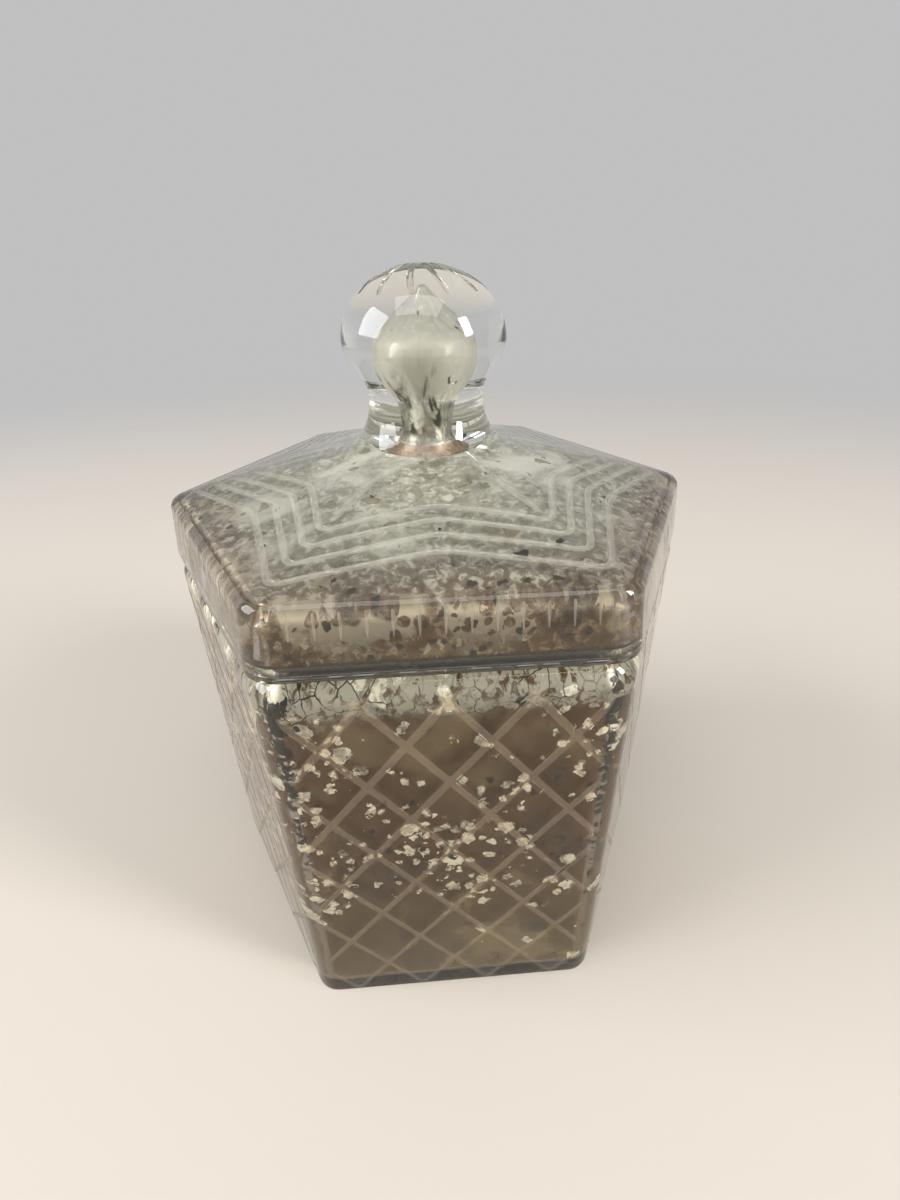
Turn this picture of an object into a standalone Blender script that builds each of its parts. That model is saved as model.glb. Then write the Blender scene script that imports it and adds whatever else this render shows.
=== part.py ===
"""Six-sided silvered glass canister with a lift-off domed lid and a hollow knob.

World frame: origin at the centre of the flat base, +Z up, the broad front face towards -Y.
The jar and the lid are thick glass shells, each with a thin silver coat on its inner side.
"""
import math

import bmesh
import bpy
from mathutils import Vector

# Plan of the hexagon at the lid's shoulder, as if its corners were sharp (metres)
FRONT_SIDE = 0.085
HALF_DEPTH = 0.075
HALF_WIDTH = 0.0815
CORNER_RADIUS = 0.0086
SMALLEST_CORNER = 0.0030

# Heights
SEAM_HEIGHT = 0.1250
SHOULDER_HEIGHT = 0.1443
NECK_RIM_HEIGHT = 0.1365
KNOB_WAIST_HEIGHT = 0.1721
BULB_HEIGHT = 0.1867
TOTAL_HEIGHT = 0.2058

# How far the outer wall stands inside the plan: the jar widens by a hair towards its seam
BASE_INSET = 0.0006
SEAM_INSET = -0.0012

# Jar glass
JAR_WALL = 0.0045
JAR_FLOOR = 0.0035
BASE_EDGE_RADIUS = 0.0022
INNER_EDGE_RADIUS = 0.0025
SHOULDER_ROLL = 0.0060
NECK_INSET = 0.0056
NECK_WALL = 0.0038

# Lid glass
LID_WALL = 0.0040
LID_ROLL = 0.0034
DOME_RISE = 0.0156
DOME_POWER = 1.35
DOME_THICKNESS = 0.0042
SEAM_GAP = 0.0004

# Knob glass
KNOB_BASE_RADIUS = 0.0260
WAIST_RADIUS = 0.0167
BULB_RADIUS = 0.0233
CAVITY_RADIUS = 0.0098
CAVITY_HEIGHT = 0.1850
CAVITY_TOP = 0.1952
BORE_RADIUS = 0.0050
BORE_MOUTH_RADIUS = 0.0088

# Silver coats, and the clearance kept between any two pieces
FIT_GAP = 0.0003
COAT = 0.0005

# Mesh fineness
CORNER_STEPS = 4
SIDE_STEPS = 4
ROLL_STEPS = 4
ROUND_STEPS = 32
PROFILE_STEPS = 8


def clearScene():
    """Remove whatever the file holds."""
    for thing in list(bpy.data.objects):
        bpy.data.objects.remove(thing, do_unlink=True)


def hexCorners(inset):
    """Return the six sharp corners of the plan, moved inwards by inset."""
    half = FRONT_SIDE / 2
    corners = [
        Vector((-half, -HALF_DEPTH)),
        Vector((half, -HALF_DEPTH)),
        Vector((HALF_WIDTH, 0.0)),
        Vector((half, HALF_DEPTH)),
        Vector((-half, HALF_DEPTH)),
        Vector((-HALF_WIDTH, 0.0)),
    ]
    moved = []
    for index, corner in enumerate(corners):
        before = (corner - corners[index - 1]).normalized()
        after = (corners[(index + 1) % 6] - corner).normalized()
        inwardBefore = Vector((-before.y, before.x))
        inwardAfter = Vector((-after.y, after.x))
        shift = (inwardBefore + inwardAfter) / (1 + inwardBefore.dot(inwardAfter))
        moved.append(corner + shift * inset)
    return moved


def hexRing(inset, height):
    """Return one rounded hexagon as a ring of points, anticlockwise from the front."""
    corners = hexCorners(inset)
    radius = max(CORNER_RADIUS - inset, SMALLEST_CORNER)
    arcs = []
    for index, corner in enumerate(corners):
        back = (corners[index - 1] - corner).normalized()
        ahead = (corners[(index + 1) % 6] - corner).normalized()
        half = back.angle(ahead) / 2
        centre = corner + (back + ahead).normalized() * (radius / math.sin(half))
        start = corner + back * (radius / math.tan(half)) - centre
        turn = math.pi - 2 * half
        arc = []
        for step in range(CORNER_STEPS + 1):
            angle = turn * step / CORNER_STEPS
            across = Vector((
                start.x * math.cos(angle) - start.y * math.sin(angle),
                start.x * math.sin(angle) + start.y * math.cos(angle),
            ))
            arc.append(centre + across)
        arcs.append(arc)
    ring = []
    for index, arc in enumerate(arcs):
        ring.extend(arc)
        following = arcs[(index + 1) % 6][0]
        for step in range(1, SIDE_STEPS):
            ring.append(arc[-1].lerp(following, step / SIDE_STEPS))
    return [Vector((point.x, point.y, height)) for point in ring]


def circleRing(radius, height):
    """Return a circle whose points lie in the directions of the hexagon's points."""
    ring = []
    for point in hexRing(0.0, 0.0):
        direction = Vector((point.x, point.y)).normalized()
        ring.append(Vector((direction.x * radius, direction.y * radius, height)))
    return ring


def domeHeight(share):
    """Height of the lid's outer skin at a share of the way from centre to shoulder."""
    return SHOULDER_HEIGHT + DOME_RISE * (1 - share ** DOME_POWER)


def domeRing(share, drop, startInset, holeRadius):
    """Return a ring of the dome, dropped below its outer skin, between shoulder and hole."""
    outer = hexRing(startInset, 0.0)
    inner = circleRing(holeRadius, 0.0)
    ring = []
    for outside, inside in zip(outer, inner):
        point = inside.lerp(outside, share)
        along = min(1.0, point.length / outside.length)
        ring.append(Vector((point.x, point.y, domeHeight(along) - drop)))
    return ring


def quarterRoll(insetStart, heightStart, radius, turnFrom, turnTo, steps, sign=1):
    """Return (inset, height) pairs on an arc centred radius inside its widest point."""
    pairs = []
    for step in range(steps + 1):
        angle = math.radians(turnFrom + (turnTo - turnFrom) * step / steps)
        inset = insetStart + radius * (1 - math.cos(angle))
        pairs.append((inset, heightStart + sign * radius * math.sin(angle)))
    return pairs


def wallInset(height):
    """Inset of the jar's outer wall at a height."""
    return BASE_INSET + (SEAM_INSET - BASE_INSET) * height / SEAM_HEIGHT


def loftMesh(name, rings, closed):
    """Join rings of points into one closed skin: a loop of rings, or one capped at both ends."""
    builder = bmesh.new()
    rows = [[builder.verts.new(point) for point in ring] for ring in rings]
    count = len(rows[0])
    pairs = list(zip(rows, rows[1:]))
    if closed:
        pairs.append((rows[-1], rows[0]))
    for low, high in pairs:
        for index in range(count):
            after = (index + 1) % count
            builder.faces.new((low[index], low[after], high[after], high[index]))
    if not closed:
        builder.faces.new(list(reversed(rows[0])))
        builder.faces.new(rows[-1])
    bmesh.ops.recalc_face_normals(builder, faces=builder.faces)
    mesh = bpy.data.meshes.new(name)
    builder.to_mesh(mesh)
    builder.free()
    return mesh


def turnedMesh(name, profile):
    """Turn a profile of (radius, height) pairs round the Z axis; both ends lie on the axis."""
    builder = bmesh.new()
    rings = []
    for radius, height in profile[1:-1]:
        ring = []
        for step in range(ROUND_STEPS):
            angle = 2 * math.pi * step / ROUND_STEPS
            point = (radius * math.cos(angle), radius * math.sin(angle), height)
            ring.append(builder.verts.new(point))
        rings.append(ring)
    first = builder.verts.new((0, 0, profile[0][1]))
    last = builder.verts.new((0, 0, profile[-1][1]))
    for index in range(ROUND_STEPS):
        after = (index + 1) % ROUND_STEPS
        builder.faces.new((first, rings[0][index], rings[0][after]))
        builder.faces.new((last, rings[-1][after], rings[-1][index]))
        for low, high in zip(rings, rings[1:]):
            builder.faces.new((low[index], low[after], high[after], high[index]))
    bmesh.ops.recalc_face_normals(builder, faces=builder.faces)
    mesh = bpy.data.meshes.new(name)
    builder.to_mesh(mesh)
    builder.free()
    return mesh


def makeMaterial(name, colour, roughness, metallic, transmission):
    """Return a plain Principled material."""
    material = bpy.data.materials.new(name)
    material.use_nodes = True
    shader = material.node_tree.nodes["Principled BSDF"]
    shader.inputs["Base Color"].default_value = (*colour, 1.0)
    shader.inputs["Roughness"].default_value = roughness
    shader.inputs["Metallic"].default_value = metallic
    shader.inputs["Transmission Weight"].default_value = transmission
    return material


def placePiece(mesh, parent, material):
    """Put a finished mesh, given in world places, under its body's empty."""
    piece = bpy.data.objects.new(mesh.name, mesh)
    bpy.context.collection.objects.link(piece)
    mesh.transform(parent.matrix_world.inverted())
    piece.parent = parent
    mesh.materials.append(material)
    mesh.shade_smooth()
    mesh.set_sharp_from_angle(angle=math.radians(35))
    return piece


def makeEmpty(name, place):
    """Return an empty that stands for one body."""
    empty = bpy.data.objects.new(name, None)
    empty.location = place
    bpy.context.collection.objects.link(empty)
    bpy.context.view_layer.update()
    return empty


def jarInside(extra):
    """Rings of the jar's inner skin from the rim down to the floor, moved in by extra."""
    neck = NECK_INSET + NECK_WALL + extra
    body = JAR_WALL + extra
    floor = JAR_FLOOR + extra
    under = SEAM_HEIGHT - SHOULDER_ROLL
    rings = []
    for step in range(ROLL_STEPS + 1):
        share = (1 - math.cos(math.pi * step / ROLL_STEPS)) / 2
        height = SEAM_HEIGHT - 0.001 - (SEAM_HEIGHT - 0.001 - under + 0.003) * step / ROLL_STEPS
        inset = neck + (wallInset(under) + body - neck) * share
        rings.append(hexRing(inset, height))
    corner = wallInset(0.0) + body
    arc = quarterRoll(corner, floor + INNER_EDGE_RADIUS, INNER_EDGE_RADIUS, 0, 80, ROLL_STEPS, -1)
    for inset, height in arc:
        rings.append(hexRing(inset, height))
    rings.append(hexRing(corner + 2 * INNER_EDGE_RADIUS, floor))
    return rings


def makeJarGlass(parent, material):
    """The jar: flat base, tapered walls, rolled shoulder and an upright neck."""
    rings = [hexRing(BASE_INSET + 2 * BASE_EDGE_RADIUS, 0.0)]
    base = quarterRoll(BASE_INSET, BASE_EDGE_RADIUS, BASE_EDGE_RADIUS, 90, 0, ROLL_STEPS, -1)
    rings += [hexRing(inset, height) for inset, height in base]
    under = SEAM_HEIGHT - SHOULDER_ROLL - 0.0005
    roll = quarterRoll(wallInset(under), under, SHOULDER_ROLL, 0, 84, ROLL_STEPS + 1)
    rings += [hexRing(inset, height) for inset, height in roll]
    rings.append(hexRing(NECK_INSET, SEAM_HEIGHT + 0.0006))
    lip = NECK_WALL * 0.4
    rings.append(hexRing(NECK_INSET, NECK_RIM_HEIGHT - lip))
    rings.append(hexRing(NECK_INSET + lip * 0.3, NECK_RIM_HEIGHT - lip * 0.3))
    rings.append(hexRing(NECK_INSET + lip, NECK_RIM_HEIGHT))
    rings.append(hexRing(NECK_INSET + NECK_WALL - lip, NECK_RIM_HEIGHT))
    rings.append(hexRing(NECK_INSET + NECK_WALL - lip * 0.3, NECK_RIM_HEIGHT - lip * 0.3))
    rings.append(hexRing(NECK_INSET + NECK_WALL, NECK_RIM_HEIGHT - lip))
    rings += jarInside(0.0)
    return placePiece(loftMesh("jar_glass", rings, False), parent, material)


def makeJarCoat(parent, material):
    """The silver coat on the jar's inner side: a thin open-topped cup."""
    top = NECK_RIM_HEIGHT - 0.0022
    outer = [hexRing(NECK_INSET + NECK_WALL + FIT_GAP, top)] + jarInside(FIT_GAP)
    inner = [hexRing(NECK_INSET + NECK_WALL + FIT_GAP + COAT, top)] + jarInside(FIT_GAP + COAT)
    rings = list(reversed(outer)) + inner
    return placePiece(loftMesh("jar_silver_coat", rings, False), parent, material)


def lidInside(extra, skirtFoot):
    """Rings of the lid's inner skin from the skirt's foot up to the hole, moved in by extra."""
    foot = SEAM_INSET + LID_WALL + extra
    head = LID_WALL + extra
    rings = [hexRing(foot, skirtFoot)]
    rollStart = SHOULDER_HEIGHT - DOME_THICKNESS - LID_ROLL
    arc = quarterRoll(head, rollStart, LID_ROLL - extra, 0, 65, ROLL_STEPS - 1)
    rings += [hexRing(inset, height) for inset, height in arc]
    startInset = arc[-1][0] + 0.0015
    for share in (1.0, 0.75, 0.5, 0.25, 0.0):
        rings.append(domeRing(share, DOME_THICKNESS + extra, startInset, KNOB_BASE_RADIUS + FIT_GAP))
    return rings


def makeLidGlass(parent, material):
    """The lid: a skirt, a rolled shoulder and a dome with a round hole for the knob."""
    foot = SEAM_HEIGHT + SEAM_GAP
    hole = KNOB_BASE_RADIUS + FIT_GAP
    edge = 0.0008
    rings = [domeRing(share, 0.0, LID_ROLL, hole) for share in (0.0, 0.2, 0.4, 0.6, 0.8, 0.97)]
    rollStart = SHOULDER_HEIGHT - LID_ROLL
    roll = quarterRoll(0.0, rollStart, LID_ROLL, 68, 0, ROLL_STEPS)
    rings += [hexRing(inset, height) for inset, height in roll]
    rings.append(hexRing(SEAM_INSET, foot + edge))
    rings.append(hexRing(SEAM_INSET + edge, foot))
    rings.append(hexRing(SEAM_INSET + LID_WALL - edge, foot))
    rings += lidInside(0.0, foot + edge)
    return placePiece(loftMesh("lid_glass", rings, True), parent, material)


def makeLidCoat(parent, material):
    """The silver coat under the dome and inside the skirt."""
    foot = SEAM_HEIGHT + 0.0030
    outer = lidInside(FIT_GAP, foot)
    inner = lidInside(FIT_GAP + COAT, foot)
    rings = outer + list(reversed(inner))
    return placePiece(loftMesh("lid_silver_coat", rings, True), parent, material)


def bezier(first, second, third, fourth, steps):
    """Points of a cubic curve, both ends included."""
    points = []
    for step in range(steps + 1):
        share = step / steps
        rest = 1 - share
        weights = (rest ** 3, 3 * rest * rest * share, 3 * rest * share * share, share ** 3)
        corners = (first, second, third, fourth)
        across = sum(weight * corner[0] for weight, corner in zip(weights, corners))
        along = sum(weight * corner[1] for weight, corner in zip(weights, corners))
        points.append((across, along))
    return points


def knobOutside(lowest):
    """Outer outline of the knob, from the pole down to its foot in the dome's hole."""
    rise = TOTAL_HEIGHT - BULB_HEIGHT
    outline = []
    for step in range(PROFILE_STEPS):
        angle = math.pi / 2 * (1 - step / PROFILE_STEPS)
        outline.append((BULB_RADIUS * math.cos(angle), BULB_HEIGHT + rise * math.sin(angle)))
    outline[0] = (0.0, TOTAL_HEIGHT)
    for step in range(PROFILE_STEPS):
        share = step / PROFILE_STEPS
        swing = (1 + math.cos(math.pi * share)) / 2
        radius = WAIST_RADIUS + (BULB_RADIUS - WAIST_RADIUS) * swing
        outline.append((radius, BULB_HEIGHT + (KNOB_WAIST_HEIGHT - BULB_HEIGHT) * share))
    brim = domeHeight((KNOB_BASE_RADIUS + FIT_GAP) / HALF_WIDTH)
    outline += bezier(
        (WAIST_RADIUS, KNOB_WAIST_HEIGHT),
        (WAIST_RADIUS, KNOB_WAIST_HEIGHT - 0.009),
        (WAIST_RADIUS + 0.0048, brim + 0.0018),
        (KNOB_BASE_RADIUS, brim),
        PROFILE_STEPS - 2,
    )
    outline.append((KNOB_BASE_RADIUS, lowest))
    return outline


def knobInside(extra, lowest):
    """Outline of the knob's cavity, from its mouth up to its crown, moved in by extra."""
    crown = CAVITY_TOP - 2.2 * extra
    wide = CAVITY_RADIUS - extra
    bore = BORE_RADIUS - extra
    outline = bezier(
        (BORE_MOUTH_RADIUS - extra, lowest),
        (BORE_MOUTH_RADIUS - 0.0030 - extra, lowest + 0.003),
        (bore, lowest + 0.005),
        (bore, lowest + 0.011),
        4,
    )
    outline += bezier(
        (bore, lowest + 0.013),
        (bore, CAVITY_HEIGHT - 0.0130),
        (wide - 0.0015, CAVITY_HEIGHT - 0.0065),
        (wide, CAVITY_HEIGHT),
        PROFILE_STEPS,
    )
    outline += bezier(
        (wide, CAVITY_HEIGHT),
        (wide, CAVITY_HEIGHT + 0.0035),
        (0.0040 - extra, CAVITY_HEIGHT + 0.0045),
        (0.0, crown),
        PROFILE_STEPS,
    )[1:]
    return outline


def makeKnobGlass(parent, material):
    """The knob: thick glass bulb, waist and flared foot round one spade-shaped cavity."""
    lowest = domeHeight(KNOB_BASE_RADIUS / HALF_WIDTH) - DOME_THICKNESS
    outline = knobOutside(lowest) + knobInside(0.0, lowest)
    return placePiece(turnedMesh("knob_glass", outline), parent, material)


def makeKnobCoat(parent, material):
    """The thin silver haze on the wall of the knob's cavity."""
    lowest = domeHeight(KNOB_BASE_RADIUS / HALF_WIDTH) - DOME_THICKNESS
    outer = knobInside(FIT_GAP, lowest)
    inner = knobInside(FIT_GAP + COAT, lowest)
    outline = list(reversed(outer)) + inner
    return placePiece(turnedMesh("knob_silver_coat", outline), parent, material)


def main():
    """Build the canister: the jar stands still, and the lid lifts straight up off it."""
    clearScene()
    jar = makeEmpty("jar_body", (0.0, 0.0, 0.0))
    lid = makeEmpty("lid_body", (0.0, 0.0, SEAM_HEIGHT + SEAM_GAP))
    bodyGlass = makeMaterial("aged_clear_glass", (0.80, 0.80, 0.72), 0.06, 0.0, 0.9)
    knobGlass = makeMaterial("clear_knob_glass", (0.88, 0.89, 0.86), 0.03, 0.0, 0.95)
    jarSilver = makeMaterial("antiqued_silver_jar", (0.50, 0.44, 0.34), 0.35, 0.7, 0.0)
    lidSilver = makeMaterial("antiqued_silver_lid", (0.58, 0.56, 0.49), 0.35, 0.7, 0.0)
    knobSilver = makeMaterial("silver_haze_knob", (0.68, 0.67, 0.58), 0.30, 0.6, 0.0)
    makeJarGlass(jar, bodyGlass)
    makeJarCoat(jar, jarSilver)
    makeLidGlass(lid, bodyGlass)
    makeLidCoat(lid, lidSilver)
    makeKnobGlass(lid, knobGlass)
    makeKnobCoat(lid, knobSilver)


main()
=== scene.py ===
import math

import bmesh
import bpy
from mathutils import Matrix, Vector
from mathutils.bvhtree import BVHTree


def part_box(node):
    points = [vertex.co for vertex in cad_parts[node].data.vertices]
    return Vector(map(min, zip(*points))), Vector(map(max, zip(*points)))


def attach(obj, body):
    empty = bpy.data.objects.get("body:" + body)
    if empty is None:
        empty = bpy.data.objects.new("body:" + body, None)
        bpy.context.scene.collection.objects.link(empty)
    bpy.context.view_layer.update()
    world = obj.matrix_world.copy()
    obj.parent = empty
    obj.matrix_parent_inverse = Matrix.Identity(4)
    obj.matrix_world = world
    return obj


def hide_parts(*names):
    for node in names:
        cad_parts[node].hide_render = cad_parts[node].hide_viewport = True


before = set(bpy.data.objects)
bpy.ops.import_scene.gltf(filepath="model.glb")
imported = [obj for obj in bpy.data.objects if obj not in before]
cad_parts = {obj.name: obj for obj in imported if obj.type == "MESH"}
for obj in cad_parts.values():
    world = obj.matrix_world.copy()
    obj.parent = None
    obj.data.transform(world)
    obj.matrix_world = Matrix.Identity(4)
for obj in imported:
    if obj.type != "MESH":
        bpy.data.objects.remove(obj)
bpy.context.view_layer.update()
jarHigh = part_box("jar_glass")[1]
lidLow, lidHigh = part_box("lid_glass")
knobLow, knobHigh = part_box("knob_glass")
print("frame loaded:", len(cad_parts), "solids")

# the six-sided plan that the jar and the lid share, in metres
skirtFlare = 0.0012  # how far the seam stands out past the lid's shoulder
plan = {
    "frontSide": 0.085,
    "halfDepth": lidHigh.y - skirtFlare,
    "halfWidth": 0.0815,
    "cornerRadius": 0.0086,
    "smallestCorner": 0.0030,
    "cornerSteps": 10,
    "sideSteps": 8,
    "cornerSupport": 0.0012,
    "edgeSupport": 0.0015,
    "floorCircle": 0.030,
    "poleCircle": 0.002,
}


def hexCorners(inset):
    half, deep, wide = plan["frontSide"] / 2, plan["halfDepth"], plan["halfWidth"]
    places = ((-half, -deep), (half, -deep), (wide, 0), (half, deep), (-half, deep), (-wide, 0))
    corners = [Vector(place) for place in places]
    moved = []
    for index, corner in enumerate(corners):
        before = (corner - corners[index - 1]).normalized()
        after = (corners[(index + 1) % 6] - corner).normalized()
        inBefore, inAfter = Vector((-before.y, before.x)), Vector((-after.y, after.x))
        moved.append(corner + (inBefore + inAfter) / (1 + inBefore.dot(inAfter)) * inset)
    return moved


def hexRing(inset, height):
    # one rounded hexagon; short support stretches keep the flat sides flat when shaded smooth
    corners = hexCorners(inset)
    radius = max(plan["cornerRadius"] - inset, plan["smallestCorner"])
    arcs = []
    for index, corner in enumerate(corners):
        back = (corners[index - 1] - corner).normalized()
        ahead = (corners[(index + 1) % 6] - corner).normalized()
        half = back.angle(ahead) / 2
        centre = corner + (back + ahead).normalized() * (radius / math.sin(half))
        start = corner + back * (radius / math.tan(half)) - centre
        turn = math.pi - 2 * half
        arc = [centre + start + back * plan["cornerSupport"]]
        for step in range(plan["cornerSteps"] + 1):
            angle = turn * step / plan["cornerSteps"]
            sine, cosine = math.sin(angle), math.cos(angle)
            swung = Vector((start.x * cosine - start.y * sine, start.x * sine + start.y * cosine))
            arc.append(centre + swung)
        arc.append(arc[-1] + ahead * plan["cornerSupport"])
        arcs.append(arc)
    ring = []
    for index, arc in enumerate(arcs):
        ring.extend(arc)
        following = arcs[(index + 1) % 6][0]
        ring.extend(arc[-1].lerp(following, s / plan["sideSteps"]) for s in range(1, plan["sideSteps"]))
    return [Vector((p.x, p.y, height)) for p in ring]


def hexRings(pairs):
    return [hexRing(inset, height) for inset, height in pairs]


baseRing = hexRing(0, 0)
ringSize = len(baseRing)
midArc = 1 + plan["cornerSteps"] / 2


def roundRing(radius, height, evenness=1.0):
    # a circle; evenness 0 keeps the hexagon's directions, 1 spreads the points evenly
    ring = []
    for index, point in enumerate(baseRing):
        hexAngle = math.atan2(point.y, point.x)
        even = math.radians(-120) + (index - midArc) * 2 * math.pi / ringSize
        turn = (even - hexAngle + math.pi) % (2 * math.pi) - math.pi
        angle = hexAngle + turn * evenness
        ring.append(Vector((radius * math.cos(angle), radius * math.sin(angle), height)))
    return ring


def loft(name, rings, closed=False):
    # joins rings into one skin; an open run of rings ends in a point at each end
    builder = bmesh.new()
    rows = [[builder.verts.new(p) for p in ring] for ring in rings]
    pairs = list(zip(rows, rows[1:])) + ([(rows[-1], rows[0])] if closed else [])
    for low, high in pairs:
        for i in range(ringSize):
            j = (i + 1) % ringSize
            builder.faces.new((low[i], low[j], high[j], high[i]))
    if not closed:
        for row in (rows[0], rows[-1]):
            pole = builder.verts.new(sum((v.co for v in row), Vector()) / ringSize)
            for i in range(ringSize):
                builder.faces.new((pole, row[i], row[(i + 1) % ringSize]))
    bmesh.ops.recalc_face_normals(builder, faces=builder.faces)
    mesh = bpy.data.meshes.new(name)
    builder.to_mesh(mesh)
    builder.free()
    piece = bpy.data.objects.new(name, mesh)
    bpy.context.collection.objects.link(piece)
    return piece


def arcPairs(inset, height, radius, turnFrom, turnTo, steps, sign=1):
    pairs = []
    for step in range(steps + 1):
        angle = math.radians(turnFrom + (turnTo - turnFrom) * step / steps)
        pairs.append((inset + radius * (1 - math.cos(angle)), height + sign * radius * math.sin(angle)))
    return pairs


def bezier(corners, steps):
    points = []
    for step in range(steps + 1):
        t = step / steps
        weights = ((1 - t) ** 3, 3 * (1 - t) ** 2 * t, 3 * (1 - t) * t * t, t ** 3)
        points.append(tuple(sum(w * c[k] for w, c in zip(weights, corners)) for k in (0, 1)))
    return points


jar = {
    "baseInset": 0.0006,
    "seamInset": -skirtFlare,
    "seam": lidLow.z - 0.0004,
    "rim": jarHigh.z,
    "wall": 0.0045,
    "floor": 0.0035,
    "baseEdge": 0.0022,
    "innerEdge": 0.0025,
    "shoulderRoll": 0.0060,
    "shoulderTurn": 84,
    "shoulderGap": 0.0005,
    "neckInset": 0.0056,
    "neckWall": 0.0038,
    "neckFillet": 0.0002,
    "neckSupport": 0.0010,
    "ledge": 0.0010,
    "ledgeDrop": 0.0030,
    "rollSteps": 8,
    "lipSteps": 5,
}


def wallInset(height):
    return jar["baseInset"] + (jar["seamInset"] - jar["baseInset"]) * height / jar["seam"]


def jarInside(extra):
    # from the neck down to the middle of the floor; extra is how far the skin stands in from the glass
    neck = jar["neckInset"] + jar["neckWall"] + extra
    body, floor = jar["wall"] + extra, jar["floor"] + extra
    under, top = jar["seam"] - jar["shoulderRoll"], jar["seam"] - jar["ledge"]
    lowest = under - jar["ledgeDrop"]
    steps, support = jar["rollSteps"], plan["edgeSupport"]
    rings = [hexRing(neck, top + support)]
    for step in range(steps + 1):
        share = (1 - math.cos(math.pi * step / steps)) / 2
        height = top - (top - lowest) * step / steps
        rings.append(hexRing(neck + (wallInset(under) + body - neck) * share, height))
    rings.append(hexRing(wallInset(lowest) + body, lowest - support))
    corner, edge = wallInset(0) + body, jar["innerEdge"]
    rings.append(hexRing(wallInset(floor + edge) + body, floor + edge + support))
    rings += hexRings(arcPairs(corner, floor + edge, edge, 0, 90, steps, -1))
    rings.append(hexRing(corner + edge + support, floor))
    rings.append(roundRing(plan["floorCircle"], floor, 0))
    rings.append(roundRing(plan["poleCircle"], floor, 0))
    return rings


def jarOutside():
    # from the middle of the base up the wall, over the shoulder and the neck, to the inside of the lip
    base, edge, steps, support = jar["baseInset"], jar["baseEdge"], jar["rollSteps"], plan["edgeSupport"]
    rings = [roundRing(plan["poleCircle"], 0, 0), roundRing(plan["floorCircle"], 0, 0)]
    rings.append(hexRing(base + edge + support, 0))
    rings += hexRings(arcPairs(base, edge, edge, 90, 0, steps, -1))
    rings.append(hexRing(wallInset(edge + support), edge + support))
    roll, seam = jar["shoulderRoll"], jar["seam"]
    under = seam - roll - jar["shoulderGap"]
    rings.append(hexRing(wallInset(under - support), under - support))
    rings += hexRings(arcPairs(wallInset(under), under, roll, 0, jar["shoulderTurn"], steps + 2))
    neck, wall = jar["neckInset"], jar["neckWall"]
    lip = wall / 2
    lipStart = jar["rim"] - lip
    rings.append(hexRing(neck - jar["neckFillet"], seam + jar["neckFillet"]))
    rings.append(hexRing(neck, seam + jar["neckSupport"]))
    rings.append(hexRing(neck, lipStart - support))
    rings += hexRings(arcPairs(neck, lipStart, lip, 0, 90, jar["lipSteps"]))
    fromLip = arcPairs(neck, lipStart, lip, 80, 0, jar["lipSteps"])
    rings += hexRings((2 * neck + wall - inset, height) for inset, height in fromLip)
    return rings


lid = {
    "foot": lidLow.z,
    "footEdge": 0.0008,
    "footSteps": 4,
    "shoulder": 0.1443,
    "wall": 0.0040,
    "roll": 0.0034,
    "turnOutside": 66,
    "turnInside": 65,
    "bulge": 0.0001,
    "taper": 0.9,
    "taperEnd": 0.0012,
    "rise": 0.0156,
    "power": 1.35,
    "thickness": 0.0042,
    "knobGap": 0.0003,
    "rollSteps": 8,
    "domeSteps": 14,
}
knob = {
    "top": knobHigh.z,
    "bulb": 0.1867,
    "waist": 0.1721,
    "baseRadius": knobHigh.x,
    "waistRadius": 0.0167,
    "bulbRadius": 0.0233,
    "crownRadius": 0.0012,
    "crownDrop": 0.00003,
    "flareDrop": 0.0090,
    "flareOut": 0.0048,
    "flareRise": 0.0018,
    "cavity": 0.0098,
    "cavityHeight": 0.1850,
    "cavityTop": 0.1952,
    "bore": 0.0050,
    "boreMouth": 0.0088,
    "boreRim": 0.0040,
    "mouthSteps": 8,
    "steps": 16,
}


def domeHeight(share):
    return lid["shoulder"] + lid["rise"] * (1 - share ** lid["power"])


def domeRing(share, drop, startInset, holeRadius):
    # a ring of the dome: a circle round the knob at share 0, the hexagon at share 1
    outer = hexRing(startInset, 0)
    inner = roundRing(holeRadius, 0, 1.0)
    ring = []
    for outside, inside in zip(outer, inner):
        point = inside.lerp(outside, share)
        along = min(1.0, point.length / outside.length)
        ring.append(Vector((point.x, point.y, domeHeight(along) - drop)))
    return ring


def lidInside(extra, foot):
    rollStart = lid["shoulder"] - lid["thickness"] - lid["roll"]
    wall = lid["wall"] + extra
    start = jar["seamInset"] + wall
    rings = [hexRing(start, foot)]
    rings.append(hexRing(start + (wall - start) * lid["taper"], rollStart - lid["taperEnd"]))
    arc = arcPairs(wall, rollStart, lid["roll"] - extra, 0, lid["turnInside"], lid["rollSteps"])
    rings += hexRings(arc)
    edge, hole = arc[-1][0] + plan["edgeSupport"], knob["boreMouth"] + knob["boreRim"] - extra
    steps = lid["domeSteps"]
    rings += [domeRing(1 - s / steps, lid["thickness"] + extra, edge, hole) for s in range(steps + 1)]
    return rings


def lidOutside():
    steps, hole = lid["domeSteps"], knob["baseRadius"] + lid["knobGap"]
    rings = [domeRing(step / steps, 0, lid["roll"], hole) for step in range(steps + 1)]
    rollStart = lid["shoulder"] - lid["roll"]
    rings += hexRings(arcPairs(0, rollStart, lid["roll"], lid["turnOutside"], 0, lid["rollSteps"]))
    rings.append(hexRing(-lid["bulge"], rollStart - plan["edgeSupport"]))
    flare, edge = jar["seamInset"], lid["footEdge"]
    edgeStart = lid["foot"] + edge
    rings.append(hexRing(flare, edgeStart + edge))
    rings += hexRings(arcPairs(flare, edgeStart, edge, 0, 90, lid["footSteps"], -1))
    fromFoot = arcPairs(flare, edgeStart, edge, 80, 0, lid["footSteps"], -1)
    rings += hexRings((2 * flare + lid["wall"] - inset, height) for inset, height in fromFoot)
    return rings


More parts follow.
